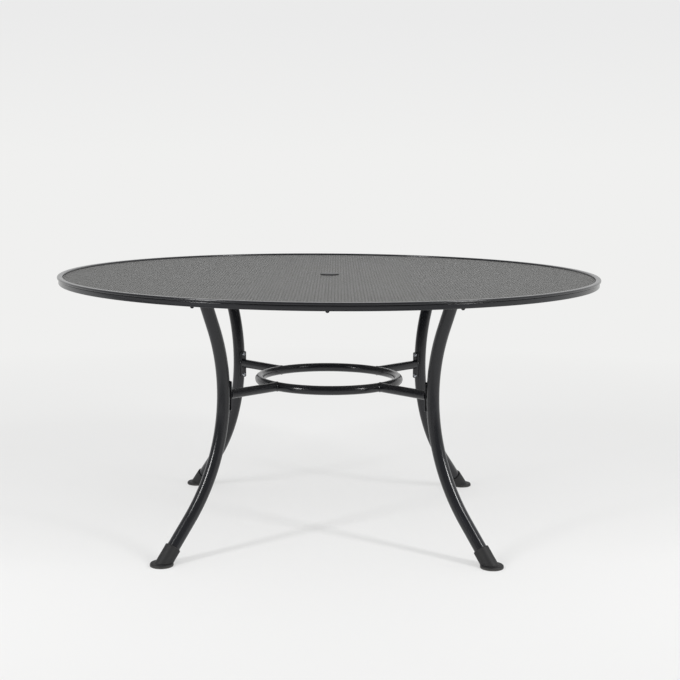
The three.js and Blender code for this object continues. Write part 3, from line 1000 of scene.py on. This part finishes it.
def along_foot(radius, start, end):
    """A round bar along the foot's line, from one distance past the floor to another."""
    rest()
    line = Vector((-math.sin(FOOT_SPLAY), 0, math.cos(FOOT_SPLAY)))
    bpy.ops.mesh.primitive_cylinder_add(
        vertices=BOOT_SIDES, radius=radius, depth=end - start, rotation=(0, -FOOT_SPLAY, 0),
        location=Vector((foot_radius, 0, 0)) + line * (start + end) / 2)
    return apply_place()


boot = along_foot(sleeve_radius, -BOOT_LENGTH, BOOT_LENGTH)
edit(boot)
pick("edges", lambda e: e.calc_face_angle() > SMOOTH_BELOW and middle(e).z > 0)
bpy.ops.mesh.bevel(offset=BOOT_TOP_ROUND, segments=ARC_STEPS)
bpy.ops.mesh.select_all(action="SELECT")
bpy.ops.mesh.bisect(plane_co=(0, 0, 0), plane_no=(0, 0, -1), clear_outer=True, use_fill=True)
rest()
sole = lathe([
    (0, 0, 0),
    (SOLE_DIAMETER / 2, 0, SOLE_CHAMFER),
    (SOLE_DIAMETER / 2, SOLE_HEIGHT, SOLE_ROUND),
    (0, SOLE_HEIGHT, 0),
], BOOT_SIDES)
sole.location.x = sole_middle
hold(sole)
apply_place()
combine(boot, sole, "UNION")
boot.data.remesh_voxel_size = VOXEL
hold(boot)
bpy.ops.object.voxel_remesh()
melt = boot.modifiers.new("melt", "SMOOTH")
melt.factor = MELT_FACTOR
melt.iterations = MELT_TURNS
bpy.ops.object.modifier_apply(modifier=melt.name)
socket = along_foot(bore, -BOOT_LENGTH, BOOT_LENGTH + CUT_OVERRUN)
edit(socket)
bpy.ops.mesh.bisect(plane_co=(0, 0, INSOLE), plane_no=(0, 0, -1), clear_outer=True, use_fill=True)
rest()
combine(boot, socket, "DIFFERENCE")
to_corners(boot, "boot", "boot_plastic")

# %% [markdown]
# Between the legs lies the brace. Its ring is a tube bent to a circle, and its two ends meet in a
# butt weld that is ground nearly flush, so only a slight swelling is left. Here that is one narrow
# band of the ring, fattened by a few tenths of a millimetre.

# %% Brace ring
RING_STEPS = 180
RING_TUBE_STEPS = 36
RING_TUBE = 25.4 * MM
SEAM_AT = math.radians(180)
SEAM_WIDTH = math.radians(1.1)
SEAM_RISE = 0.35 * MM

low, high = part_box("brace_ring")
ring_middle = (low + high) / 2
ring_radius = high.x - RING_TUBE / 2
rest()
bpy.ops.mesh.primitive_torus_add(
    major_segments=RING_STEPS, minor_segments=RING_TUBE_STEPS,
    major_radius=ring_radius, minor_radius=RING_TUBE / 2, location=(0, 0, ring_middle.z))
ring = apply_place()
edit(ring)
pick("verts", lambda v: abs(abs(math.atan2(v.co.y, v.co.x)) - SEAM_AT) < SEAM_WIDTH)
bpy.ops.transform.shrink_fatten(value=SEAM_RISE)
rest()
finish(ring, "fine_brace_ring", "coated_steel", ["brace_ring"])

# %% [markdown]
# Four straight arms run from the ring to the legs. The end at the ring is coped, which means that it
# is cut to the ring's round side so that it fits snugly, and both ends are welded. The cope is made
# by cutting the arm with a copy of the ring. The long faces of the arm's side are the only ones that
# touch its outer end without lying in it, so their ends are the outlines that the beads follow.

# %% Brace arms
ARM_SIDES = 36
ARM_TUBE = 25.4 * MM
ARM_BEAD = 3.4 * MM

bracket_low, bracket_high = corner_box("brace_bracket")
reach = bracket_low.x - ring_radius
rest()
bpy.ops.mesh.primitive_cylinder_add(
    vertices=ARM_SIDES, radius=ARM_TUBE / 2, depth=reach, rotation=SIDEWAYS,
    location=(ring_radius + reach / 2, 0, ring_middle.z))
arm = apply_place()
combine(arm, copy_of(ring), "DIFFERENCE")


def along_side(face):
    """True for a face of the arm's side, which runs up to its outer end."""
    reaches = [abs(v.co.x - bracket_low.x) < TINY for v in face.verts]
    return any(reaches) and not all(reaches)


bead = bead_along(
    arm, lambda e: along_side(e.link_faces[0]) != along_side(e.link_faces[1]), ARM_BEAD)
combine(arm, bead, "UNION")
to_corners(arm, "brace_arm", "coated_steel")

# %% [markdown]
# A bracket is an upright flat bar with round corners, welded to the end of the arm and bolted to the
# inner side of the leg.

# %% Brace brackets
BRACKET_CORNER = 4 * MM

bracket = plate(bracket_low, bracket_high, X_AXIS, BRACKET_CORNER)
bracket_middle = (bracket_low.x + bracket_high.x) / 2
for level in bolt_levels.values():
    drill(bracket, (bracket_middle, 0, level), bracket_bore, SIDEWAYS)
to_corners(bracket, "brace_bracket", "coated_steel")

# %% [markdown]
# The bracket's bolts have a low dome head with a hexagon socket. The dome and the shank are one
# turned section, and the socket is cut with a six-sided bar. The bolt is modelled upright, then laid
# on its side with its head towards the middle of the table.

# %% Bracket bolts
BOLT_STEPS = 36
DOME_DIAMETER = 10.5 * MM
DOME_HEIGHT = 3.3 * MM
DOME_TOP_SHARE = 0.55
DOME_EDGE = 1.1 * MM
DOME_ROUND = 0.9 * MM
SOCKET_WIDTH = 4 * MM
SOCKET_DEPTH = 2 * MM
TIP_CHAMFER = 0.7 * MM
HEX_SIDES = 6


def hex_reach(width):
    """How far a hexagon's corners reach from its middle, from its width across the flats."""
    return width / 2 / math.cos(math.pi / HEX_SIDES)


def hex_bar(width, low, high):
    """A six-sided bar along Z, measured across its flats."""
    rest()
    bpy.ops.mesh.primitive_cylinder_add(
        vertices=HEX_SIDES, radius=hex_reach(width), depth=high - low,
        location=(0, 0, (low + high) / 2))
    return apply_place()


def lay(piece, place):
    """Lays a piece that was modelled upright on its side, at its place."""
    piece.rotation_euler = SIDEWAYS
    piece.location = place
    hold(piece)
    return apply_place()


low, high = bolt_boxes["low"]
shank = high.x - low.x - DOME_HEIGHT
dome = DOME_DIAMETER / 2
bolt = lathe([
    (0, -DOME_HEIGHT, 0),
    (dome * DOME_TOP_SHARE, -DOME_HEIGHT, DOME_ROUND),
    (dome, -DOME_EDGE, DOME_ROUND),
    (dome, 0, 0),
    (BRACKET_BOLT / 2, 0, 0),
    (BRACKET_BOLT / 2, shank - TIP_CHAMFER, 0),
    (BRACKET_BOLT / 2 - TIP_CHAMFER, shank, 0),
    (0, shank, 0),
], BOLT_STEPS)
combine(bolt, hex_bar(SOCKET_WIDTH, -2 * DOME_HEIGHT, SOCKET_DEPTH - DOME_HEIGHT), "DIFFERENCE")
for end, level in bolt_levels.items():
    laid = lay(copy_of(bolt), (low.x + DOME_HEIGHT, 0, level))
    to_corners(laid, f"bracket_bolt_{end}", "zinc_steel")
drop(bolt)

# %% [markdown]
# The legs hang from the top by hexagon bolts, with a nut above the plate. A hexagon head or nut is
# turned at its ends, so its six corners are cut back in a slope. That is the overlap of a six-sided
# bar and a turned disc with sloped edges. The thread shows only at the tip, above the nut.

# %% Hexagon bolts and nuts
HEX_WIDTH = 13 * MM
HEAD_HEIGHT = 5.3 * MM
HEX_FACE_SHARE = 0.95
HEX_SLOPE = 0.9 * MM
THREAD_PITCH = 1.25 * MM
THREAD_DEPTH = 0.65 * MM
THREAD_TURNS = 8
THREAD_PLAY = 0.15 * MM


def hexagon(low, high, both_ends):
    """A hexagon head or nut with its corners sloped at the outer end, or at both."""
    outer = hex_reach(HEX_WIDTH) + TINY
    face = HEX_WIDTH / 2 * HEX_FACE_SHARE
    top = [(outer, high - HEX_SLOPE, 0), (face, high, 0)] if both_ends else [(outer, high, 0)]
    piece = hex_bar(HEX_WIDTH, low, high)
    disc = lathe([(0, low, 0), (face, low, 0), (outer, low + HEX_SLOPE, 0), *top, (0, high, 0)],
                 BOLT_STEPS)
    combine(piece, disc, "INTERSECT")
    return piece


low, high = corner_box("flange_bolt_a")
head = hexagon(low.z, low.z + HEAD_HEIGHT, both_ends=False)
screw = FLANGE_BOLT / 2
thread = []
for turn in range(THREAD_TURNS):
    crest = high.z - TIP_CHAMFER - (THREAD_TURNS - turn) * THREAD_PITCH
    thread += [(screw, crest, 0), (screw - THREAD_DEPTH, crest + THREAD_PITCH / 2, 0)]
shank = lathe([
    (0, low.z + HEAD_HEIGHT / 2, 0),
    (screw, low.z + HEAD_HEIGHT / 2, 0),
    *thread,
    (screw, high.z - TIP_CHAMFER, 0),
    (screw - TIP_CHAMFER, high.z, 0),
    (0, high.z, 0),
], BOLT_STEPS)
combine(head, shank, "UNION")
nut_low, nut_high = corner_box("flange_nut_a")
nut = hexagon(nut_low.z, nut_high.z, both_ends=True)
drill(nut, (0, 0, nut_low.z), screw + THREAD_PLAY)
for hand, y in zip("ab", flange_holes):
    place = (flange_middle.x, y, 0)
    to_corners(copy_of(head, move=place), f"flange_bolt_{hand}", "zinc_steel")
    to_corners(copy_of(nut, move=place), f"flange_nut_{hand}", "zinc_steel")
drop(head)
drop(nut)
